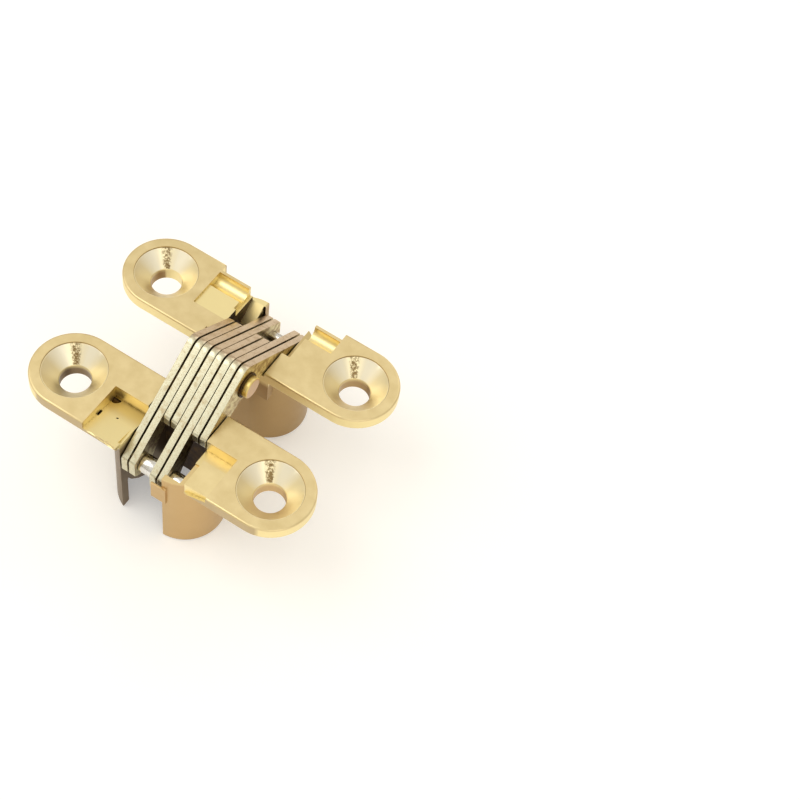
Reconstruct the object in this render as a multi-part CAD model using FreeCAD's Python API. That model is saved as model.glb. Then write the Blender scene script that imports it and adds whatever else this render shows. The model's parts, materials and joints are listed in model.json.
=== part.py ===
import FreeCAD, Part
import math
import os

# Concealed invisible door hinge, lying open at 180 degrees with both leaf faces up.
# Millimetres. X runs along the leaves, Y from the near leaf to the far leaf, Z up.
# The origin is under the middle of the hinge, at the level of the cup bottoms.
# Heights and depths below are measured from the faces of the leaves, and places across
# a leaf from its middle line, outwards, away from the other leaf.

# Leaves
leafWidth = 13.0            # across each leaf, and the diameter of its round ends
holeSpacing = 33.8          # between the two screw holes of a leaf
leafGap = 8.8               # between the two leaves when the hinge is open
plateThickness = 2.2
plateEdgeRound = 0.3
screwHoleRadius = 2.35
countersinkRadius = 4.85
countersinkDepth = 2.5
countersinkStep = 0.15      # upright ring at the top of the countersink
screwBossRadius = 3.6       # boss under the plate, round each screw hole
screwBossDepth = 4.5

# Cup cast under each leaf
cupDepth = 19.0
cupEndRadius = 6.1
cupSpine = 5.0              # between the centres of the cup's two round ends
cupWall = 0.95              # long walls of the cup
cupEndWall = 1.3            # round ends of the cup
ribThickness = 1.2          # ribs beside the stack, which carry the pins
ribEdge = 0.9               # metal of a rib outside its slot
innerWallTop = -6.4         # wall under the crossing links
sillTop = -0.8              # the same wall under the outermost long arms
outerWallTop = -2.75        # wall beside the window

# Link plates
linkThickness = 1.05
pairInnerGap = 0.28         # between the two plates of a pair
pairOuterGap = 0.08         # between neighbouring pairs
pairCount = 4
stackCentre = 0.25          # the stack sits a little off the middle of the leaves
sideClearance = 0.15        # between the stack and the walls beside it
elbowRound = 1.6            # at the sharp corner of the elbow
elbowSlope = 34.5           # degrees, upper edges
innerElbowHeight = 0.15     # hollow corner under the elbow
shortArmKnee = (-1.9, 2.6)  # knees of the lower edges, outwards and up from the fixed pivot
longArmKnees = ((-2.0, 4.1), (1.4, 2.5), (3.3, 0.2))
longArmOverhang = 2.0       # square end of the long arm, beyond its pin
shortArmOverhang = 3.6      # the same for the short arm
shortArmEndRise = 2.0
cornerRound = 0.7
pivotEyeRadius = 1.7

# Pins and sleeves
centreHeight = 2.4          # centre pin, hinge open
pivotInset = 4.7            # fixed pivot, from the leaf's middle towards the other leaf
pivotDepth = 3.9
slideDepth = 6.4            # sliding pin, hinge open
slideEyeRadius = 2.42       # end of the long arm, round the sliding pin
sleeveRoom = 0.1            # between the sleeves of the sliding pin and the long wall
pinRadius = 0.9
centrePinRadius = 1.1
headRadius = 1.7
headThickness = 0.95
headEdgeRound = 0.25
rivetedEndRadius = 1.35     # the other end of the centre pin, riveted over
rivetedEndReach = 0.25
washerRadius = 2.05
washerThickness = 0.22
slideSleeveRadius = 1.45
pivotSleeveRadius = 1.25
fitClearance = 0.03         # radial, where a pin turns in a hole
endClearance = 0.04         # at each end of a sleeve
slotClearance = 0.08        # each side of a sliding pin
pinEngagement = 0.5         # of each pin end in the rib beside the stack
pivotBossRadius = 1.35      # boss of the casting round each end of a fixed pin
pinSeatEnd = 0.25           # metal beyond the end of a fixed pin
pinEndBevel = 0.15
closedGap = 0.6             # between the faces when the hinge is closed

# Opening for the stack in the plates
headRoom = 0.3              # around the rivet heads when the hinge is closed

# Recesses in the near leaf
recessEnd = 10.5            # recesses reach this far from the middle of a leaf
recessInner = -1.2
recessFloorInner = -2.7
recessFloorOuter = -1.3
recessSkin = 0.8            # metal left under the deep recesses
pocketOuter = 1.45          # the pocket lies between the recess line and the pad
pocketFloor = -2.4
padLeft = 6.7
padDrop = 0.25
rimWidth = 0.45             # lowered outer rim beside the pad
rimLow = -2.7
rimHigh = -0.9
lugLeft = 1.1               # small lug on the outer wall, across the edge of the window
lugTop = -5.0
lugBottom = -8.6
lugThickness = 0.3
lugRoot = 0.8               # length of the lug on the wall

# Recesses in the far leaf
shelfInner = -2.0
shelfDrop = 0.45
coveOuter = 4.75
coveRadius = 1.3
coveDepth = 1.5
lipWidth = 0.45
notchEdge = -6.3            # plate edge beside the crossing links
notchReach = -4.6
slitEdge = 6.6              # plate edge beside the outer end of the last link
slitInner = -1.95
slitCoveEnd = 11.1
gussetWidth = 2.1
gussetFoot = -5.3

leafOffset = (leafWidth + leafGap) / 2
leafEdge = leafWidth / 2
beyond = leafWidth          # cuts that leave the leaf end here
cupHalf = cupSpine / 2
cavityHalf = cupEndRadius - cupWall
pairPitch = 2 * linkThickness + pairInnerGap + pairOuterGap
stackWidth = pairCount * pairPitch - pairOuterGap
stackLeft = stackCentre - stackWidth / 2
stackRight = stackCentre + stackWidth / 2
wallLeft = stackLeft - sideClearance
wallRight = stackRight + sideClearance
seatLength = pinEngagement + pinSeatEnd
headReach = washerThickness + headThickness
pivotReach = leafOffset - pivotInset
slideOffset = cavityHalf - slideSleeveRadius - sleeveRoom
slideReach = leafOffset + slideOffset
slope = math.radians(elbowSlope)
elbowHeight = (slideEyeRadius + slideReach * math.sin(slope)) / math.cos(slope) - slideDepth

# The hinge folds about three lines of pins: pivot, centre and slide. The arm on the pivot
# turns by pivotSwing while the leaves close, and the arm to the slide by the rest of 180.
armLength = math.hypot(pivotReach, centreHeight + pivotDepth)
openAngle = math.atan2(centreHeight + pivotDepth, pivotReach)
closedAngle = math.pi - math.asin((closedGap / 2 + pivotDepth) / armLength)
pivotSwing = closedAngle - openAngle
slideSwing = math.pi - pivotSwing
slideLength = math.hypot(slideReach, centreHeight + slideDepth)
slideAngle = math.pi + math.atan2(centreHeight + slideDepth, slideReach)
closedCentre = -pivotInset - armLength * math.cos(closedAngle)

near, far = -1, 1           # the side of the hinge on which a leaf lies


def columnLeft(column):
    return stackLeft + column * pairPitch


def columnRight(column):
    return columnLeft(column) + pairPitch - pairOuterGap


def rod(radius, x0, x1, y, z):
    """A round bar along X."""
    return Part.makeCylinder(radius, x1 - x0, FreeCAD.Vector(x0, y, z), FreeCAD.Vector(1, 0, 0))


def leafBox(side, x0, x1, v0, v1, z0, z1):
    """A box in a leaf, with v measured outwards from the middle of the leaf."""
    y = min(side * (leafOffset + v0), side * (leafOffset + v1))
    return Part.makeBox(x1 - x0, abs(v1 - v0), z1 - z0, FreeCAD.Vector(x0, y, z0))


def leafPrism(side, points, x0, x1):
    """A bar along X in a leaf, with the given outline of (outwards, up) points."""
    corners = [FreeCAD.Vector(x0, side * (leafOffset + v), z) for v, z in points]
    face = Part.Face(Part.makePolygon(corners + corners[:1]))
    return face.extrude(FreeCAD.Vector(x1 - x0, 0, 0))


def stadium(side, halfSpine, radius, z0, z1):
    """An upright bar with round ends, along the middle of a leaf."""
    y = side * leafOffset
    a, b = FreeCAD.Vector(-halfSpine, y - radius, z0), FreeCAD.Vector(halfSpine, y - radius, z0)
    c, d = FreeCAD.Vector(halfSpine, y + radius, z0), FreeCAD.Vector(-halfSpine, y + radius, z0)
    right = Part.Arc(b, FreeCAD.Vector(halfSpine + radius, y, z0), c).toShape()
    left = Part.Arc(d, FreeCAD.Vector(-halfSpine - radius, y, z0), a).toShape()
    wire = Part.Wire([Part.makeLine(a, b), right, Part.makeLine(c, d), left])
    return Part.Face(wire).extrude(FreeCAD.Vector(0, 0, z1 - z0))


def roundFlatEdges(shape, radius, z):
    """Rounds the edges that lie at one height."""
    edges = [edge for edge in shape.Edges
             if abs(edge.BoundBox.ZMin - z) < 1e-6 and abs(edge.BoundBox.ZMax - z) < 1e-6]
    return shape.makeFillet(radius, edges)


def slidePoint(share):
    """Where a sliding pin stands in its leaf, outwards and up, at a share of the closing."""
    arm = openAngle + share * pivotSwing
    link = slideAngle + share * slideSwing
    return (-pivotInset - armLength * math.cos(arm) - slideLength * math.cos(link),
            -pivotDepth + armLength * math.sin(arm) + slideLength * math.sin(link))


def slideSlot(side, x0, x1):
    """The curved slot that the ends of a sliding pin run in."""
    half = pinRadius + slotClearance
    steps = 10
    nudge = 0.01
    sides = [[], []]
    caps = []
    for i in range(steps + 1):
        share = i / steps
        (v0, z0), (v1, z1) = slidePoint(share - nudge), slidePoint(share + nudge)
        length = math.hypot(v1 - v0, z1 - z0)
        along = half * (v1 - v0) / length, half * (z1 - z0) / length
        v, z = slidePoint(share)
        for points, turn in zip(sides, (1, -1)):
            y = side * (leafOffset + v - turn * along[1])
            points.append(FreeCAD.Vector(x0, y, z + turn * along[0]))
        if i in (0, steps):
            turn = -1 if i == 0 else 1
            y = side * (leafOffset + v + turn * along[0])
            top = FreeCAD.Vector(x0, y, z + turn * along[1])
            caps.append(Part.Arc(sides[0][i], top, sides[1][i]).toShape())
    edges = caps
    for points in sides:
        curve = Part.BSplineCurve()
        curve.interpolate(points)
        edges.append(curve.toShape())
    wire = Part.Wire(Part.sortEdges(edges)[0])
    return Part.Face(wire).extrude(FreeCAD.Vector(x1 - x0, 0, 0))


def ribOutline():
    """A rib covers the cup's section down to a line that follows the pin's slot."""
    reach = pinRadius + slotClearance + ribEdge
    nudge = 0.01
    points = []
    for share in (0.3, 0.5, 0.7, 0.85, 1.0):
        (v0, z0), (v1, z1) = slidePoint(share - nudge), slidePoint(share + nudge)
        length = math.hypot(v1 - v0, z1 - z0)
        v, z = slidePoint(share)
        points.append((v - reach * (z1 - z0) / length, z + reach * (v1 - v0) / length))
    v, z = slidePoint(1.0)
    return [(-cupEndRadius, -plateThickness / 2), (cupEndRadius, -plateThickness / 2),
            (cupEndRadius, points[0][1]), *points, (v, z - reach), (-cupEndRadius, z - reach)]


def sillSpan(side):
    """The outermost long arm of each leaf passes over a sill of the inner wall, which runs
    on past the stack to the end of the fixed pin."""
    if side == near:
        return wallLeft - seatLength, columnLeft(1) - sideClearance
    return columnRight(pairCount - 2) + sideClearance, wallRight + seatLength


def leafBlank(side):
    """The plate with its round ends and the hollow cup with its ribs, before it is cut."""
    plate = stadium(side, holeSpacing / 2, leafEdge, -plateThickness, 0)
    for z in (0, -plateThickness):
        plate = roundFlatEdges(plate, plateEdgeRound, z)
    cup = stadium(side, cupHalf, cupEndRadius, -cupDepth, -plateThickness / 2)
    cup = roundFlatEdges(cup, plateEdgeRound, -cupDepth)
    hollow = stadium(side, cupHalf, cupEndRadius - cupEndWall, -cupDepth - 1, -plateThickness)
    ribs = [leafPrism(side, ribOutline(), x, x + ribThickness).common(cup)
            for x in (wallLeft - ribThickness, wallRight)]
    bosses = [rod(pivotBossRadius, wallLeft - seatLength, wallRight + seatLength,
                  side * pivotReach, -pivotDepth),
              leafBox(side, *sillSpan(side), -leafEdge, -cavityHalf, innerWallTop, -plateThickness / 2)]
    for x in (-holeSpacing / 2, holeSpacing / 2):
        foot = FreeCAD.Vector(x, side * leafOffset, -screwBossDepth)
        bosses.append(Part.makeCylinder(screwBossRadius, screwBossDepth - plateThickness / 2, foot))
    return [plate, cup.cut(hollow), *ribs, *bosses]


def screwHoles(side):
    cuts = []
    for x in (-holeSpacing / 2, holeSpacing / 2):
        start = FreeCAD.Vector(x, side * leafOffset, -screwBossDepth - 1)
        cuts.append(Part.makeCylinder(screwHoleRadius, screwBossDepth + 2, start))
        foot = FreeCAD.Vector(x, side * leafOffset, -countersinkDepth)
        cuts.append(Part.makeCone(screwHoleRadius, countersinkRadius, countersinkDepth, foot))
        step = FreeCAD.Vector(x, side * leafOffset, -countersinkStep)
        cuts.append(Part.makeCylinder(countersinkRadius, countersinkStep + 1, step))
    return cuts


def stackOpening(side, windowLeft, windowRight):
    """The well for the links, the window in the outer wall and the holes for the pins."""
    bottom = -cupDepth - 1
    pinLeft, pinRight = wallLeft - pinEngagement, wallRight + pinEngagement
    closedInner = closedCentre - washerRadius - headRoom
    closedOuter = closedCentre + washerRadius + headRoom
    closedFloor = closedGap / 2 - washerRadius - headRoom
    rivetRoom = (stackLeft - rivetedEndReach - headRoom, stackRight + headReach + headRoom)
    sillLeft, sillRight = sillSpan(side)
    lowWall = (sillRight, wallRight) if side == near else (wallLeft, sillLeft)
    groove = (wallLeft, sillRight) if side == near else (sillLeft, wallRight)
    return [
        leafBox(side, wallLeft, wallRight, -cavityHalf, cavityHalf, bottom, 1),
        leafBox(side, *lowWall, -beyond, 0, innerWallTop, 1),
        leafBox(side, wallLeft, wallRight, 0, beyond, outerWallTop, 1),
        leafBox(side, windowLeft, windowRight, 0, beyond, bottom, 1),
        leafBox(side, wallLeft, wallRight, -beyond, 0, sillTop, 1),
        leafBox(side, *rivetRoom, closedInner, closedOuter, closedFloor, 1),
        rod(pivotSleeveRadius + sideClearance, *groove, side * pivotReach, -pivotDepth),
        rod(pinRadius, pinLeft, pinRight, side * pivotReach, -pivotDepth),
        slideSlot(side, wallLeft - ribThickness, wallRight + ribThickness),
    ]


def nearLeafCasting():
    """The deep recess lies left of the stack, the pocket and the pad right of it."""
    ramp = (recessFloorOuter - recessFloorInner) / (leafEdge - recessInner)
    skinInner = recessInner - recessSkin
    skins = [leafPrism(near, [
        (skinInner, -plateThickness / 2), (leafEdge - rimWidth, -plateThickness / 2),
        (leafEdge - rimWidth, recessFloorOuter - recessSkin),
        (skinInner, recessFloorInner - recessSkin)], -recessEnd - recessSkin, wallLeft)]
    skins.append(leafBox(near, wallRight, recessEnd + recessSkin, skinInner,
                         pocketOuter + recessSkin, pocketFloor - recessSkin, -plateThickness / 2))
    recess = leafPrism(near, [
        (recessInner, recessFloorInner), (beyond, recessFloorInner + ramp * (beyond - recessInner)),
        (beyond, beyond), (recessInner, beyond)], -recessEnd, wallLeft)
    pocket = leafBox(near, wallRight, recessEnd, recessInner, pocketOuter, pocketFloor, 1)
    ledge = leafBox(near, wallRight, padLeft, pocketOuter, beyond, outerWallTop, 1)
    pad = leafBox(near, padLeft, recessEnd, pocketOuter, beyond, -padDrop, 1)
    y = near * (leafOffset + beyond)
    rimFace = Part.Face(Part.makePolygon([
        FreeCAD.Vector(x, y, z) for x, z in (
            (wallRight, rimLow), (recessEnd, rimHigh), (recessEnd, 1), (wallRight, 1),
            (wallRight, rimLow))]))
    rim = rimFace.extrude(FreeCAD.Vector(0, beyond - leafEdge + rimWidth, 0))
    cuts = [recess, pocket, ledge, pad, rim]
    windowRight = columnRight(2) + sideClearance
    cuts += stackOpening(near, wallLeft, windowRight) + screwHoles(near)
    plate, *others = leafBlank(near)
    lugOuter = cupEndRadius + lugThickness
    lug = [leafBox(near, left, windowRight + lugRoot, inner, lugOuter, lugBottom, lugTop)
           for left, inner in ((lugLeft, cupEndRadius), (windowRight, cavityHalf))]
    return plate.fuse([*others, *skins]).cut(cuts).fuse(lug).removeSplitter()


def farLeafCasting():
    """A shelf with a cove lies left of the stack, a slit and a shorter cove right of it."""
    lipOuter = coveOuter + lipWidth
    coveMiddle = far * (leafOffset + coveOuter - coveRadius)
    coveHeight = coveRadius - coveDepth
    windowLeft = columnLeft(1) - sideClearance
    cuts = [
        leafBox(far, -recessEnd, wallLeft, shelfInner, coveOuter, -shelfDrop, 1),
        leafBox(far, -recessEnd, wallLeft, lipOuter, beyond, outerWallTop, 1),
        leafBox(far, notchEdge, wallLeft, -beyond, notchReach, outerWallTop, 1),
        leafBox(far, wallRight, slitEdge, slitInner, beyond, outerWallTop, 1),
        leafBox(far, slitEdge, slitCoveEnd, lipOuter, beyond, outerWallTop, 1),
        rod(coveRadius, -recessEnd, wallLeft, coveMiddle, coveHeight),
        rod(coveRadius, slitEdge, slitCoveEnd, coveMiddle, coveHeight),
    ]
    cuts += stackOpening(far, windowLeft, wallRight) + screwHoles(far)
    plate, *others = leafBlank(far)
    body = plate.fuse(others).cut(cuts)
    # The gusset's slanted face lies along the first link's arm as it stands when closed.
    gussetSlope = math.tan(math.pi - slope - pivotSwing)
    gussetInner = cavityHalf - (outerWallTop - gussetFoot) / gussetSlope
    gusset = leafPrism(far, [
        (cavityHalf + cupWall / 2, outerWallTop), (cavityHalf, outerWallTop),
        (gussetInner, gussetFoot), (cavityHalf + cupWall / 2, gussetFoot)],
        wallLeft - cupWall, wallLeft + gussetWidth)
    return body.fuse(gusset).removeSplitter()


def tangentPoint(point, centre, radius, turn):
    """Where a line from a point touches a circle, on the side given by turn."""
    u, z = point[0] - centre[0], point[1] - centre[1]
    angle = math.atan2(z, u) + turn * math.acos(radius / math.hypot(u, z))
    return centre[0] + radius * math.cos(angle), centre[1] + radius * math.sin(angle)


def linkPlate(longSide, x):
    """An elbow plate whose long arm goes to the leaf on longSide. Its points are given as
    distance from the centre pin, positive towards that leaf, and height."""
    slide, pivot = (slideReach, -slideDepth), (-pivotReach, -pivotDepth)
    elbow, hollow = (0, elbowHeight), (0, innerElbowHeight)
    shortKnee = (-pivotReach - shortArmKnee[0], shortArmKnee[1] - pivotDepth)
    bow = [(pivotReach + u, z - pivotDepth) for u, z in longArmKnees]
    shortReach = pivotReach + shortArmOverhang
    shortTop = (-shortReach, elbowHeight - shortReach * math.tan(slope))
    shortEnd = (-shortReach, shortArmEndRise - pivotDepth)
    longReach = slideReach + longArmOverhang
    longTop = (longReach, elbowHeight - longReach * math.tan(slope))
    longEnd = (longReach, slide[1] - math.sqrt(slideEyeRadius ** 2 - longArmOverhang ** 2))
    lower = tangentPoint(bow[-1], slide, slideEyeRadius, 1)
    outer = tangentPoint(shortEnd, pivot, pivotEyeRadius, 1)
    inner = tangentPoint(shortKnee, pivot, pivotEyeRadius, -1)

    def place(point):
        return FreeCAD.Vector(x, longSide * point[0], point[1])

    def lines(points):
        return [Part.makeLine(place(a), place(b)) for a, b in zip(points, points[1:])]

    def eye(first, centre, radius, last):
        """An arc round an eye, by the side on which both of its ends lie."""
        u = (first[0] + last[0]) / 2 - centre[0]
        z = (first[1] + last[1]) / 2 - centre[1]
        share = radius / math.hypot(u, z)
        middle = (centre[0] + share * u, centre[1] + share * z)
        return Part.Arc(place(first), place(middle), place(last)).toShape()

    edges = lines([outer, shortEnd, shortTop, elbow, longTop, longEnd])
    edges.append(eye(longEnd, slide, slideEyeRadius, lower))
    edges += lines([lower, *reversed(bow), hollow, shortKnee, inner])
    edges.append(eye(inner, pivot, pivotEyeRadius, outer))
    plate = Part.Face(Part.Wire(edges)).extrude(FreeCAD.Vector(linkThickness, 0, 0))
    plate = roundAlongX(plate, elbowRound, longSide, [elbow])
    corners = [shortTop, shortEnd, longTop, hollow, shortKnee, *bow]
    plate = roundAlongX(plate, cornerRound, longSide, corners)
    holes = [rod(radius + fitClearance, x - 1, x + linkThickness + 1, longSide * u, z)
             for radius, (u, z) in ((pinRadius, slide), (pinRadius, pivot),
                                    (centrePinRadius, (0, centreHeight)))]
    return plate.cut(holes)


def roundAlongX(plate, radius, side, corners):
    """Rounds the edges of a link plate that stand on the given corners."""
    edges = []
    for edge in plate.Edges:
        box = edge.BoundBox
        for u, z in corners:
            if math.hypot(box.YMin - side * u, box.ZMin - z) < 1e-4 and box.XLength > linkThickness / 2:
                edges.append(edge)
    return plate.makeFillet(radius, edges)


def pin(radius, x0, x1, y, z):
    """A plain pin with its ends broken."""
    bar = rod(radius, x0, x1, y, z)
    return bar.makeChamfer(pinEndBevel, [e for e in bar.Edges if e.BoundBox.XLength < 1e-6])


def centrePin():
    """The rivet through all the plates. Its head lies on a washer, at the right."""
    left, right = stackLeft - rivetedEndReach, stackRight + headReach
    head = rod(headRadius, right - headThickness, right, 0, centreHeight)
    head = head.makeFillet(headEdgeRound, [
        e for e in head.Edges if abs(e.BoundBox.XMin - right) < 1e-6])
    shank = rod(centrePinRadius, left, right, 0, centreHeight)
    return shank.fuse([head, rod(rivetedEndRadius, left, stackLeft, 0, centreHeight)]).removeSplitter()


def ring(radius, bore, x0, x1, y, z):
    """A sleeve or washer that turns on a pin."""
    return rod(radius, x0, x1, y, z).cut(rod(bore + fitClearance, x0 - 1, x1 + 1, y, z))


def export(name, shape):
    shape.translate(FreeCAD.Vector(0, 0, cupDepth))
    shape.exportStep("parts/" + name + ".step")


os.makedirs("parts", exist_ok=True)
export("near_leaf_casting", nearLeafCasting())
export("far_leaf_casting", farLeafCasting())

pinLeft, pinRight = wallLeft - pinEngagement, wallRight + pinEngagement
leafNames = {near: "near", far: "far"}
for side, leafName in leafNames.items():
    export(leafName + "_pivot_pin", pin(pinRadius, pinLeft, pinRight, side * pivotReach, -pivotDepth))
    export(leafName + "_slide_pin", pin(pinRadius, pinLeft, pinRight, side * slideReach, -slideDepth))

for column in range(pairCount):
    # The columns take turns: the long arm goes to the near leaf, then to the far leaf.
    longSide = (near, far)[column % 2]
    plateLeft = columnLeft(column), columnRight(column) - linkThickness
    for i, x in enumerate(plateLeft):
        export("link_plate_" + str(2 * column + i + 1), linkPlate(longSide, x))
    # Beside each long arm the pivot pin of that leaf carries a sleeve.
    sleeveLeft, sleeveRight = columnLeft(column) + endClearance, columnRight(column) - endClearance
    number = str(column // 2 + 1)
    export(leafNames[longSide] + "_pivot_sleeve_" + number, ring(
        pivotSleeveRadius, pinRadius, sleeveLeft, sleeveRight, longSide * pivotReach, -pivotDepth))
    if longSide == far:
        export("near_slide_sleeve_" + number, ring(
            slideSleeveRadius, pinRadius, sleeveLeft, sleeveRight, near * slideReach, -slideDepth))

export("centre_pin", centrePin())
export("centre_washer", ring(
    washerRadius, centrePinRadius, stackRight, stackRight + washerThickness, 0, centreHeight))
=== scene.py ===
import json
import math

import bpy
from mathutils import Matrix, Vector


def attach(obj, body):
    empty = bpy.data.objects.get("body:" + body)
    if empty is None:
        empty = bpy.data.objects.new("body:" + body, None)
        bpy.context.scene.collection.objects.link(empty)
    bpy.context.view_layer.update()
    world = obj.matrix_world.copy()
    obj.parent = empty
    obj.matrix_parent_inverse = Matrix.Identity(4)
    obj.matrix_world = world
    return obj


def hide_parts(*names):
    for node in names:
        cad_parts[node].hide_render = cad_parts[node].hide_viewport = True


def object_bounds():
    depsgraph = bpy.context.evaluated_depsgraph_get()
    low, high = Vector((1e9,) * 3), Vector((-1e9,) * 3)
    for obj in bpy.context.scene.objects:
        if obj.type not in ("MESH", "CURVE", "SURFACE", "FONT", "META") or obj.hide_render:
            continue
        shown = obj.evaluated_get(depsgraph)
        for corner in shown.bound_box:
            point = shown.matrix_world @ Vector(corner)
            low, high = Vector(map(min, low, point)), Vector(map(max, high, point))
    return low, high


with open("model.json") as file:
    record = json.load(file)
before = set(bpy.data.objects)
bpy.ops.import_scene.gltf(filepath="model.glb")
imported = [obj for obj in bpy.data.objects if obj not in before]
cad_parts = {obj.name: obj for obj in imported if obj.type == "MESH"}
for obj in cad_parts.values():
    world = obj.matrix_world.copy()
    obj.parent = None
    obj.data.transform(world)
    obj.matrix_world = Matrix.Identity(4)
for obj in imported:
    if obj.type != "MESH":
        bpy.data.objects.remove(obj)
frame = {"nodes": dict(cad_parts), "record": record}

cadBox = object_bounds()
nodes = frame["nodes"]
mm = 0.001


# colours and nodes

def hexColour(text):
    parts = [int(text[i:i + 2], 16) / 255 for i in (1, 3, 5)]
    return [c / 12.92 if c <= 0.04045 else ((c + 0.055) / 1.055) ** 2.4 for c in parts] + [1.0]


def addNode(tree, kind, inputs=None, **settings):
    # an input is a value, a socket, or a node that stands for its first output in use
    node = tree.nodes.new(kind)
    for name, value in settings.items():
        setattr(node, name, value)
    for name, value in (inputs or {}).items():
        if isinstance(value, bpy.types.Node):
            value = next(socket for socket in value.outputs if socket.enabled)
        if isinstance(value, bpy.types.NodeSocket):
            tree.links.new(value, node.inputs[name])
        else:
            node.inputs[name].default_value = value
    return node


def newMaterial(name):
    material = bpy.data.materials.new(name)
    material.use_nodes = True
    tree = material.node_tree
    tree.nodes.clear()
    return material, tree


def zoneMask(tree, amount, *fades):
    # each fade is a measure with the values at which the zone is empty and full
    for measure, empty, full in fades:
        step = addNode(tree, "ShaderNodeMapRange", {"Value": measure, "From Min": empty, "From Max": full})
        amount = addNode(tree, "ShaderNodeMath", {0: amount, 1: step}, operation="MULTIPLY")
    return amount


def paintZone(tree, tone, colour, amount, *fades):
    # lays a colour, or another tone, over the tone inside a zone
    amount = zoneMask(tree, amount, *fades)
    return addNode(tree, "ShaderNodeMix", {0: amount, 6: tone, 7: colour}, data_type="RGBA")


def finishMetal(tree, tone, roughness, relief, strength, depth):
    # every finish of this hinge is a metal; relief is the height that the bump follows
    bump = addNode(tree, "ShaderNodeBump", {"Height": relief, "Strength": strength, "Distance": depth * mm})
    shader = addNode(tree, "ShaderNodeBsdfPrincipled", {
        "Base Color": tone, "Metallic": 1.0, "Roughness": roughness, "Normal": bump})
    addNode(tree, "ShaderNodeOutputMaterial", {"Surface": shader})


# materials

castingLook = {
    "gold": "#DEC894",          # the plated face under white light
    "pale": "#E8D4A2",          # brighter patches of the plating
    "side": "#BFAA82",          # painted shade on the upright outer sides of the plates
    "recess": "#F2E0A6",        # floors and walls of the recesses, yellower, and painted lighter against their shade
    "wingShade": "#7E6A4E",          # painted shade on the end of the near cup's left wall
    "cup": "#C9AA78",           # painted shade on the cup walls, duller and browner than the leaf faces
    "farCupShade": "#AE9164",        # painted shade, darker on the far cup
    "cornerShade": "#7C682E",         # painted shade, olive, in the corners
    "mottle": 2.4,              # mm, cloudy patches of the plating bath
    "grain": 0.22,              # mm, skin of the die casting, drawn a little coarse
    "cornerShadeGrain": 0.5,          # mm, uneven edge of the painted corner shade
    "corner": 1.0,              # mm, how far the painted shade reaches out of a corner
    "faceHeight": 19.0,         # mm, the leaf faces over the floor
    "hole": (16.9, 10.9),       # mm, screw holes from the middle
    "recessDepth": (0.2, 0.4),  # mm under the leaf faces
    "cupDepth": (2.1, 3.2),     # mm under the leaf faces, where the painted shade of the cup walls begins
    "cupSplit": (0.0, 3.0),     # mm, from the near cup's painted shade to the far cup's
    "gusset": (-2.5, 12.7, 13.5),   # mm, inner corner of the far left gusset
    "wingRight": -4.7,          # mm, where the wing begins
    "wingBack": (-4.0, -5.0),   # mm, it lies nearer than this
    "outerSide": 17.1,          # mm from the middle, the upright sides that face out
    "soft": 0.1,                # mm, half the width of a change of tone
}

sinkLook = {
    "sink": "#F6E8BE",          # turned countersinks, painted paler than the cast faces for the light the cones catch
    "lobeHighlight": "#FCF4DC",          # painted highlights, the brightest parts of the cones, beside the streak
    "ring": "#8C6C3C",          # painted shade, a thin dark line at the rim of each countersink
    "streak": "#6E5224",        # brown specks in a streak on the far side of each countersink
    "speck": 0.34,              # mm, size of the specks
    "lip": (2.38, 2.5),         # mm from the hole's axis, start of the cone
    "coneEnd": (4.85, 4.75),    # mm, its end
    "line": (4.72, 4.8),        # mm, the painted shade line at the rim
    "rim": (4.98, 4.9),         # mm, past this is the leaf face
    "skin": (0.05, 0.15),       # mm under the leaf face
    "streakWay": (-0.579, 0.815, 0),    # the streak climbs the far side, to the left
    "crossWay": (0.815, 0.579, 0),
    "streakReach": (2.3, 4.8),  # mm from the hole's axis
    "streakWidth": (0.35, 0.85),        # mm, half its width at foot and top
    "streakThin": 0.35,         # how thick it still is at the rim
    "feather": (-0.25, 0.35),   # mm, its uneven edge
    "upper": (0.2, 1.2),        # mm past the axis, the upper half of the cone
    "lobeSlant": (0.1, 0.5),    # sideways per upwards, where a lobe begins
    "lobeEnd": (2.2, 0.8),
}


def sinkMeasures(tree, place):
    # the four countersinks are mirror places, so one folded pair of coordinates serves them all
    hole = [h * mm for h in castingLook["hole"]] + [0]
    sign = addNode(tree, "ShaderNodeVectorMath", {0: place}, operation="SIGN")
    offset = addNode(tree, "ShaderNodeVectorMath", {0: place}, operation="ABSOLUTE")
    offset = addNode(tree, "ShaderNodeVectorMath", {0: offset, 1: hole}, operation="SUBTRACT")
    offset = addNode(tree, "ShaderNodeVectorMath", {0: offset, 1: sign}, operation="MULTIPLY")
    offset = addNode(tree, "ShaderNodeVectorMath", {0: offset, 1: (1, 1, 0)}, operation="MULTIPLY")
    reach = addNode(tree, "ShaderNodeVectorMath", {0: offset}, operation="LENGTH")
    upwards = addNode(tree, "ShaderNodeVectorMath", {0: offset, 1: sinkLook["streakWay"]},
                      operation="DOT_PRODUCT")
    sideways = addNode(tree, "ShaderNodeVectorMath", {0: offset, 1: sinkLook["crossWay"]},
                       operation="DOT_PRODUCT")
    sideways = addNode(tree, "ShaderNodeMath", {0: sideways}, operation="ABSOLUTE")
    return reach, upwards, sideways


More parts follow.
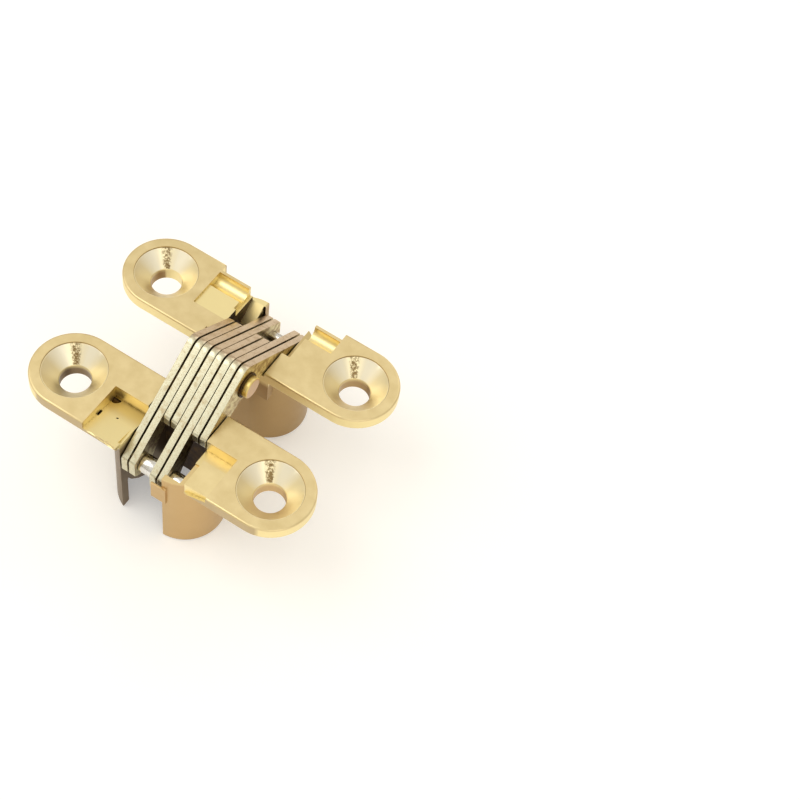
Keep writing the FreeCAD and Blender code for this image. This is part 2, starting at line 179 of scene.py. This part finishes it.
def paintSinks(tree, tone, place, height):
    look = sinkLook
    reach, upwards, sideways = sinkMeasures(tree, place)
    skin = [(castingLook["faceHeight"] - depth) * mm for depth in look["skin"]]
    lip, coneEnd, line, rim, upper = ([r * mm for r in look[name]]
                                      for name in ("lip", "coneEnd", "line", "rim", "upper"))
    cone = zoneMask(tree, 1.0, (reach, *coneEnd), (height, *skin), (reach, *lip))
    upper = (upwards, *upper)
    # painted light: the cones paler than the faces
    tone = paintZone(tree, tone, hexColour(look["sink"]), cone)
    # painted highlights: bright lobes where the cone turns to the light, on both sides of the streak
    slant = addNode(tree, "ShaderNodeMath", {0: upwards, 1: 0.1 * mm}, operation="MAXIMUM")
    slant = addNode(tree, "ShaderNodeMath", {0: sideways, 1: slant}, operation="DIVIDE")
    tone = paintZone(tree, tone, hexColour(look["lobeHighlight"]), cone,
                     (slant, *look["lobeSlant"]), (slant, *look["lobeEnd"]), upper)
    # painted shade: a thin dark line at the rim of each countersink
    tone = paintZone(tree, tone, hexColour(look["ring"]), 0.7,
                     (reach, *line), (reach, *rim), (height, *skin))
    return tone, reach, streakMask(tree, cone, reach, upwards, sideways, upper)


def streakMask(tree, cone, reach, upwards, sideways, upper):
    look = sinkLook
    foot, top = (r * mm for r in look["streakReach"])
    narrow, wide = (w * mm for w in look["streakWidth"])
    width = addNode(tree, "ShaderNodeMapRange", {"Value": upwards, "From Min": foot, "From Max": top,
                                                 "To Min": narrow, "To Max": wide})
    inside = addNode(tree, "ShaderNodeMath", {0: width, 1: sideways}, operation="SUBTRACT")
    thick = addNode(tree, "ShaderNodeMapRange", {"Value": reach, "From Min": foot, "From Max": top,
                                                 "To Min": 1.0, "To Max": look["streakThin"]})
    thick = addNode(tree, "ShaderNodeMath", {0: thick, 1: cone}, operation="MULTIPLY")
    return zoneMask(tree, thick, (inside, *(f * mm for f in look["feather"])), upper)


def paintSpecks(tree, tone, place, streak):
    # specks show where the streak is thick enough for the grain of the noise
    grain = addNode(tree, "ShaderNodeTexNoise", {"Vector": place, "Scale": 1 / (sinkLook["speck"] * mm),
                                                 "Detail": 3.0, "Roughness": 0.7})
    boost = addNode(tree, "ShaderNodeMath", {0: streak, 1: 0.2}, operation="MULTIPLY")
    specks = addNode(tree, "ShaderNodeMath", {0: grain, 1: boost}, operation="ADD")
    return paintZone(tree, tone, hexColour(sinkLook["streak"]), 0.9,
                     (specks, 0.48, 0.66), (streak, 0.05, 0.4))


def paintCornerShade(tree, tone, place, reach):
    # painted shade: olive darkening out of the corners, but not into the turned countersinks
    look = castingLook
    corners = addNode(tree, "ShaderNodeAmbientOcclusion", {"Distance": look["corner"] * mm}, samples=8)
    patchy = addNode(tree, "ShaderNodeTexNoise", {"Vector": place, "Scale": 1 / (look["cornerShadeGrain"] * mm),
                                                  "Detail": 4.0, "Roughness": 0.65})
    patchy = addNode(tree, "ShaderNodeMath", {0: patchy, 1: 0.5}, operation="SUBTRACT")
    patchy = addNode(tree, "ShaderNodeMath", {0: patchy, 1: 0.9}, operation="MULTIPLY")
    openness = addNode(tree, "ShaderNodeMath", {0: corners.outputs["AO"], 1: patchy}, operation="ADD")
    full, clear = (r * mm for r in sinkLook["rim"])
    return paintZone(tree, tone, hexColour(look["cornerShade"]), 0.9, (openness, 0.6, 0.1), (reach, clear, full))


def paintCupShade(tree, tone, parts):
    # painted shade: the cups duller than the faces, apart from the gusset in the far left of the well, which
    # keeps the faces' tone
    look = castingLook
    x, y, height = parts["X"], parts["Y"], parts["Z"]
    gussetX, gussetY, gussetZ = (g * mm for g in look["gusset"])
    wingX, soft = look["wingRight"] * mm, look["soft"] * mm
    cup = paintZone(tree, hexColour(look["cup"]), hexColour(look["farCupShade"]), 1.0,
                    (y, *(c * mm for c in look["cupSplit"])))
    # painted shade, darker, on the end of the near cup's left wall
    cup = paintZone(tree, cup, hexColour(look["wingShade"]), 1.0,
                    (x, wingX + soft / 2, wingX - soft / 2), (y, *(w * mm for w in look["wingBack"])))
    shadedCups = paintZone(tree, tone, cup, 1.0,
                     (height, *((look["faceHeight"] - depth) * mm for depth in look["cupDepth"])))
    return paintZone(tree, shadedCups, tone, 1.0, (x, gussetX + soft, gussetX - soft),
                     (y, gussetY - soft, gussetY + soft), (height, gussetZ - soft, gussetZ + soft))


def makeCasting():
    # satin brass plating on a zinc die casting: soft highlights, a fine skin, painted olive shade in the
    # corners
    look = castingLook
    material, tree = newMaterial("satinBrassCasting")
    coords = addNode(tree, "ShaderNodeTexCoord").outputs
    place = coords["Object"]
    parts = addNode(tree, "ShaderNodeSeparateXYZ", {"Vector": place}).outputs
    height = parts["Z"]
    clouds = addNode(tree, "ShaderNodeTexNoise", {"Vector": place, "Scale": 1 / (look["mottle"] * mm),
                                                  "Detail": 4.0, "Roughness": 0.55})
    grain = addNode(tree, "ShaderNodeTexNoise", {"Vector": place, "Scale": 1 / (look["grain"] * mm),
                                                 "Detail": 4.0, "Roughness": 0.6})
    facing = addNode(tree, "ShaderNodeSeparateXYZ", {"Vector": coords["Normal"]}).outputs
    level = addNode(tree, "ShaderNodeMath", {0: facing["Z"]}, operation="ABSOLUTE")
    outwards = addNode(tree, "ShaderNodeMath", {0: parts["Y"]}, operation="ABSOLUTE")
    tone = paintZone(tree, hexColour(look["gold"]), hexColour(look["pale"]), 1.0, (clouds, 0.35, 0.7))
    # partly painted light: the recesses yellower, and lighter than the faces against their shade
    tone = paintZone(tree, tone, hexColour(look["recess"]), 1.0,
                     (height, *((look["faceHeight"] - depth) * mm for depth in look["recessDepth"])))
    # painted shade: the upright sides that face out darker
    tone = paintZone(tree, tone, hexColour(look["side"]), 1.0, (level, 0.6, 0.2),
                     (outwards, (look["outerSide"] - look["soft"]) * mm,
                      (look["outerSide"] + look["soft"]) * mm))
    tone = paintCupShade(tree, tone, parts)
    tone, reach, streak = paintSinks(tree, tone, place, height)
    tone = paintCornerShade(tree, tone, place, reach)
    tone = paintSpecks(tree, tone, place, streak)
    roughness = addNode(tree, "ShaderNodeMapRange", {"Value": clouds, "From Min": 0.3, "From Max": 0.7,
                                                     "To Min": 0.34, "To Max": 0.42})
    finishMetal(tree, tone, roughness, grain, 0.22, 0.03)
    return material


darkShadeLook = {
    "dark": "#3A2A1E",
    "brown": "#5A4322",
    "mottle": 1.2,              # mm, patches of the dark tone
}


def makeDarkShade(name):
    # painted shade: dark brown metal in the deep well of a cup, and on the washer in the shadow of the rivet
    # head
    look = darkShadeLook
    material, tree = newMaterial(name)
    place = addNode(tree, "ShaderNodeTexCoord").outputs["Object"]
    clouds = addNode(tree, "ShaderNodeTexNoise", {"Vector": place, "Scale": 1 / (look["mottle"] * mm),
                                                  "Detail": 4.0, "Roughness": 0.55})
    tone = paintZone(tree, hexColour(look["dark"]), hexColour(look["brown"]), 1.0, (clouds, 0.4, 0.65))
    finishMetal(tree, tone, 0.5, clouds, 0.3, 0.05)
    return material


plateLook = {
    "side": "#D8CB98",          # flat sides, yellower
    "sideDark": "#A48A60",      # brown patches of the flat sides
    "edge": "#D5D1B6",          # cut edges, pale and bright
    "farEdgeReflection": "#D6C0A2",       # painted reflection: edges turned to the far leaf, pinkish tan
    "stain": "#A98C5A",         # brown patches along the cut edges
    "mottle": 0.9,              # mm
    "grain": 0.16,              # mm, fine blanking texture
}


def makePlate():
    # blanked steel with a thin brass wash: brownish flat sides, pale cut edges
    look = plateLook
    material, tree = newMaterial("brassWashedSteel")
    coords = addNode(tree, "ShaderNodeTexCoord").outputs
    place = coords["Object"]
    facing = addNode(tree, "ShaderNodeSeparateXYZ", {"Vector": coords["Normal"]}).outputs
    flat = addNode(tree, "ShaderNodeMath", {0: facing["X"]}, operation="ABSOLUTE")
    clouds = addNode(tree, "ShaderNodeTexNoise", {"Vector": place, "Scale": 1 / (look["mottle"] * mm),
                                                  "Detail": 4.0, "Roughness": 0.55})
    grain = addNode(tree, "ShaderNodeTexNoise", {"Vector": place, "Scale": 1 / (look["grain"] * mm),
                                                 "Detail": 4.0, "Roughness": 0.6})
    stain = hexColour(look["stain"])
    # painted reflection: edges that face the far leaf pinkish tan
    edge = paintZone(tree, hexColour(look["edge"]), hexColour(look["farEdgeReflection"]), 1.0, (facing["Y"], -0.2, 0.4))
    edge = paintZone(tree, edge, stain, 0.5, (clouds, 0.54, 0.74))
    side = paintZone(tree, hexColour(look["side"]), hexColour(look["sideDark"]), 1.0, (clouds, 0.42, 0.6))
    tone = paintZone(tree, edge, side, 1.0, (flat, 0.6, 0.95))
    tone = paintZone(tree, tone, stain, 0.5, (grain, 0.5, 0.34))
    roughness = addNode(tree, "ShaderNodeMapRange", {"Value": clouds, "From Min": 0.3, "From Max": 0.7,
                                                     "To Min": 0.28, "To Max": 0.4})
    finishMetal(tree, tone, roughness, grain, 0.4, 0.02)
    return material


steelLook = {
    "silver": "#E4E2DE",
    "grey": "#CBC6BC",
    "mottle": 0.8,              # mm
    "rings": 0.6,               # mm between the tool's rings, drawn coarse
}


def makeSteel():
    # bright turned steel: clean silver with faint rings of the tool
    look = steelLook
    material, tree = newMaterial("brightTurnedSteel")
    place = addNode(tree, "ShaderNodeTexCoord").outputs["Object"]
    rings = addNode(tree, "ShaderNodeTexWave", {"Vector": place, "Scale": 1 / (look["rings"] * mm),
                                                "Distortion": 1.5, "Detail": 2.0}, bands_direction="X")
    clouds = addNode(tree, "ShaderNodeTexNoise", {"Vector": place, "Scale": 1 / (look["mottle"] * mm),
                                                  "Detail": 3.0, "Roughness": 0.55})
    tone = paintZone(tree, hexColour(look["silver"]), hexColour(look["grey"]), 1.0, (clouds, 0.4, 0.7))
    finishMetal(tree, tone, 0.2, rings.outputs["Fac"], 0.15, 0.01)
    return material


rivetLook = {
    "gold": "#E6CF86",          # the head's round side
    "rubbed": "#CFAE8A",        # its flat end
    "hammered": 0.5,            # mm, faint dents
}


def makeRivet():
    # brass plated steel rivet, its formed ends rubbed to a pinkish tan
    look = rivetLook
    material, tree = newMaterial("brassPlatedRivet")
    coords = addNode(tree, "ShaderNodeTexCoord").outputs
    facing = addNode(tree, "ShaderNodeSeparateXYZ", {"Vector": coords["Normal"]}).outputs
    flat = addNode(tree, "ShaderNodeMath", {0: facing["X"]}, operation="ABSOLUTE")
    dents = addNode(tree, "ShaderNodeTexNoise", {"Vector": coords["Object"], "Detail": 4.0,
                                                 "Scale": 1 / (look["hammered"] * mm), "Roughness": 0.55})
    tone = paintZone(tree, hexColour(look["gold"]), hexColour(look["rubbed"]), 1.0, (flat, 0.7, 0.98))
    finishMetal(tree, tone, 0.33, dents, 0.4, 0.05)
    return material


# pieces made from the frame's solids

edgeLook = {
    "merge": 0.0005,            # mm, doubles of the solid's loose triangles
    "flat": 0.5,                # degrees, triangles this near to level are one face
    "sharp": 28,                # degrees, an edge past this is broken
    "segments": 2,
    "smooth": 32,               # degrees, an edge under this is shaded smooth
    "faceWeight": 100,          # large faces rule the shading, so they stay level
}


def pickOnly(piece):
    bpy.ops.object.select_all(action="DESELECT")
    piece.select_set(True)
    bpy.context.view_layer.objects.active = piece


def copySolid(node, name):
    solid = nodes[node]
    piece = solid.copy()
    piece.data = solid.data.copy()
    piece.name = piece.data.name = name
    piece.parent = None
    bpy.context.collection.objects.link(piece)
    piece.matrix_world.identity()
    pickOnly(piece)
    bpy.ops.mesh.customdata_custom_splitnormals_clear()
    bpy.ops.object.mode_set(mode="EDIT")
    bpy.ops.mesh.select_all(action="SELECT")
    bpy.ops.mesh.remove_doubles(threshold=edgeLook["merge"] * mm)
    bpy.ops.mesh.dissolve_limited(angle_limit=math.radians(edgeLook["flat"]))
    bpy.ops.object.mode_set(mode="OBJECT")
    return piece


def breakEdges(piece, width):
    pickOnly(piece)
    bevel = piece.modifiers.new("edges", "BEVEL")
    bevel.width = width * mm
    bevel.segments = edgeLook["segments"]
    bevel.limit_method = "ANGLE"
    bevel.angle_limit = math.radians(edgeLook["sharp"])
    bevel.use_clamp_overlap = True
    bevel.miter_outer = "MITER_ARC"
    bpy.ops.object.modifier_apply(modifier="edges")


def smoothPiece(piece):
    pickOnly(piece)
    bpy.ops.object.shade_smooth_by_angle(angle=math.radians(edgeLook["smooth"]))
    weights = piece.modifiers.new("weights", "WEIGHTED_NORMAL")
    weights.keep_sharp = True
    weights.weight = edgeLook["faceWeight"]
    bpy.ops.object.modifier_apply(modifier="weights")


wellLook = {
    "left": -4.8,               # mm, the walls of the well
    "right": 5.3,
    "side": 5.2,
    "top": 16.2,                # below the ledges that show
    "gusset": 2.0,              # the gusset lies further out of the leaf's middle than this
}


def isWell(place):
    # the gusset at the far left and the end of the near cup's left wall stay out of the well's painted shade
    look = wellLook
    x, y, z = place / mm
    outwards = abs(y) - castingLook["hole"][1]
    gusset = (y > 0 and x < castingLook["gusset"][0] and outwards > look["gusset"]
              and z > castingLook["gusset"][2])
    wingShade = y < 0 and x < castingLook["wingRight"]
    return (look["left"] < x < look["right"] and abs(outwards) < look["side"] and z < look["top"]
            and not gusset and not wingShade)


pitLook = {
    # node: place in mm, half sizes in mm, turn in degrees about Z, dark inside with the well's painted shade
    # or plated
    "near_leaf_casting": (
        ((-10.0, -10.35, 16.4), (0.7, 0.5, 0.36), 25, 1),   # blowhole in the corner of the recess
        ((-10.42, -13.7, 16.95), (0.2, 0.75, 0.28), 0, 1),  # slot-like hole at its left wall
        ((-7.9, -12.9, 16.8), (0.22, 0.14, 0.16), 40, 1),   # small holes in its floor
        ((-7.3, -14.7, 17.05), (0.3, 0.08, 0.1), 60, 1),
        ((-9.1, -17.5, 17.8), (1.3, 0.34, 0.24), 3, 0),     # torn outer rim of the recess
        ((-7.3, -17.5, 17.65), (1.2, 0.26, 0.34), -4, 0),
        ((-5.9, -17.5, 17.45), (1.0, 0.42, 0.4), 6, 0),
    ),
}


def addPebble(number, place, half, turn, darkInside):
    # an uneven pebble, the shape of one porous spot
    bpy.ops.object.select_all(action="DESELECT")
    bpy.ops.mesh.primitive_ico_sphere_add(subdivisions=3, radius=1)
    pebble = bpy.context.object
    for vertex in pebble.data.vertices:
        x, y, z = vertex.co
        swell = 0.16 * math.sin(3 * x + 2 * number) * math.cos(4 * y - number)
        vertex.co *= 1 + swell + 0.1 * math.sin(5 * z)
    pebble.scale = [h * mm for h in half]
    pebble.rotation_euler = (0, 0, math.radians(turn))
    pebble.location = Vector(place) * mm
    pebble.data.materials.append(None)
    pebble.data.materials.append(None)
    for face in pebble.data.polygons:
        # index 1 gives the pit's inside the well's painted shade
        face.material_index = darkInside
    bpy.ops.object.transform_apply(location=True, rotation=True, scale=True)
    return pebble


def cutPits(piece, pits):
    # porous spots of the casting, each taken out of the metal
    pebbles = [addPebble(number, *pit) for number, pit in enumerate(pits)]
    for pebble in pebbles:
        pickOnly(piece)
        hole = piece.modifiers.new("pit", "BOOLEAN")
        hole.object = pebble
        hole.operation = "DIFFERENCE"
        hole.solver = "EXACT"
        bpy.ops.object.modifier_apply(modifier="pit")
        bpy.data.objects.remove(pebble)


def dress(node, body, slotName, width, material, inner=None):
    piece = copySolid(node, node + "_finished")
    breakEdges(piece, width)
    piece.data.materials.clear()
    piece.data.materials.append(material)
    if inner:
        piece.data.materials.append(inner)
        for face in piece.data.polygons:
            face.material_index = int(isWell(face.center))
    if node in pitLook:
        cutPits(piece, pitLook[node])
    smoothPiece(piece)
    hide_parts(node)
    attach(piece, body)
    print("dressed", node, len(piece.data.polygons))


# floor, lights and camera

stageLook = {
    "drop": 0.02,               # mm under the cups
    "reach": 3.0,               # m
    "floorTone": "#E4E1DC",
    "whitening": 0.3,           # added for the eye and for reflections
}


def makeStage():
    look = stageLook
    bpy.ops.object.select_all(action="DESELECT")
    bpy.ops.mesh.primitive_plane_add(size=look["reach"], location=(0, 0, cadBox[0].z - look["drop"] * mm))
    floor = bpy.context.object
    floor.name = "floor"
    material, tree = newMaterial("paleFloor")
    rays = addNode(tree, "ShaderNodeLightPath").outputs
    matte = addNode(tree, "ShaderNodeBsdfDiffuse", {"Color": hexColour(look["floorTone"])})
    white = addNode(tree, "ShaderNodeEmission", {"Color": (1, 1, 1, 1), "Strength": look["whitening"]})
    both = addNode(tree, "ShaderNodeAddShader", {0: matte, 1: white})
    seen = addNode(tree, "ShaderNodeMath", {0: rays["Is Camera Ray"], 1: rays["Is Transmission Ray"]},
                   operation="MAXIMUM")
    seen = addNode(tree, "ShaderNodeMath", {0: seen, 1: rays["Is Glossy Ray"]}, operation="MAXIMUM")
    shader = addNode(tree, "ShaderNodeMixShader", {0: seen, 1: matte, 2: both})
    addNode(tree, "ShaderNodeOutputMaterial", {"Surface": shader})
    floor.data.materials.append(material)


worldLook = {
    "top": "#F8F5EC",
    "front": "#C2BAAE",         # level with the floor, on the near side
    "back": "#94806E",          # and on the far side, where the tent is in shade
    "rise": (-0.05, 0.7),       # the tent pales from the floor up
    "shade": (-0.2, 0.9),       # and darkens from the near side to the far side
    "strength": 0.95,
}


def makeWorld():
    look = worldLook
    world = bpy.data.worlds.new("lightTent")
    bpy.context.scene.world = world
    world.use_nodes = True
    tree = world.node_tree
    tree.nodes.clear()
    way = addNode(tree, "ShaderNodeTexCoord").outputs["Generated"]
    parts = addNode(tree, "ShaderNodeSeparateXYZ", {"Vector": way}).outputs
    low = paintZone(tree, hexColour(look["front"]), hexColour(look["back"]), 1.0,
                    (parts["Y"], *look["shade"]))
    tent = paintZone(tree, low, hexColour(look["top"]), 1.0, (parts["Z"], *look["rise"]))
    light = addNode(tree, "ShaderNodeBackground", {"Color": tent, "Strength": look["strength"]})
    addNode(tree, "ShaderNodeOutputWorld", {"Surface": light})


lampLook = {
    # name: place in m, size in m, watts
    "keySoftbox": ((-0.22, -0.12, 0.42), 0.36, 0.65),
    "fillSoftbox": ((0.30, -0.30, 0.25), 0.30, 0.25),
    "backSoftbox": ((0.05, 0.38, 0.30), 0.25, 0.2),
}
lampAim = Vector((0, 0, 0.015))     # m, the middle of the hinge


def makeLamps():
    for name, (place, size, watts) in lampLook.items():
        bpy.ops.object.light_add(type="AREA", location=place)
        lamp = bpy.context.object
        lamp.name = name
        lamp.data.size = size
        lamp.data.energy = watts
        lamp.rotation_euler = (lampAim - Vector(place)).to_track_quat("-Z", "Y").to_euler()


cameraLook = {
    "place": (72.737, -106.879, 211.563),   # mm
    "turn": (33.2491, -6.3046, 31.9193),    # degrees
    "lens": 72.232,
    "sensor": 36,
    "nearest": 10,                          # mm
}


def makeCamera():
    look = cameraLook
    data = bpy.data.cameras.new("camera")
    camera = bpy.data.objects.new("camera", data)
    bpy.context.collection.objects.link(camera)
    camera.location = Vector(look["place"]) * mm
    camera.rotation_euler = [math.radians(turn) for turn in look["turn"]]
    data.lens = look["lens"]
    data.sensor_width = look["sensor"]
    data.clip_start = look["nearest"] * mm
    bpy.context.scene.camera = camera


makeCamera()
makeStage()
makeWorld()
makeLamps()
print("stage ready")

finishes = {
    # word in a node's name: slot in the record, broken edge in mm, material, material of the well
    "casting": ("plated_casting", 0.14, makeCasting(), makeDarkShade("shadedZincWell")),
    "link_plate": ("plated_plate", 0.08, makePlate()),
    "washer": ("plated_plate", 0.03, makeDarkShade("shadowedSteelWasher")),
    "centre_pin": ("plated_rivet", 0.05, makeRivet()),
    "": ("bright_steel", 0.05, makeSteel()),    # every other pin, and the sleeves
}
for body, names in frame["record"]["behaviour"]["bodies"].items():
    for name in names:
        word = next(word for word in finishes if word in name)
        dress(name, body, *finishes[word])

bpy.context.scene.view_settings.view_transform = "Standard"
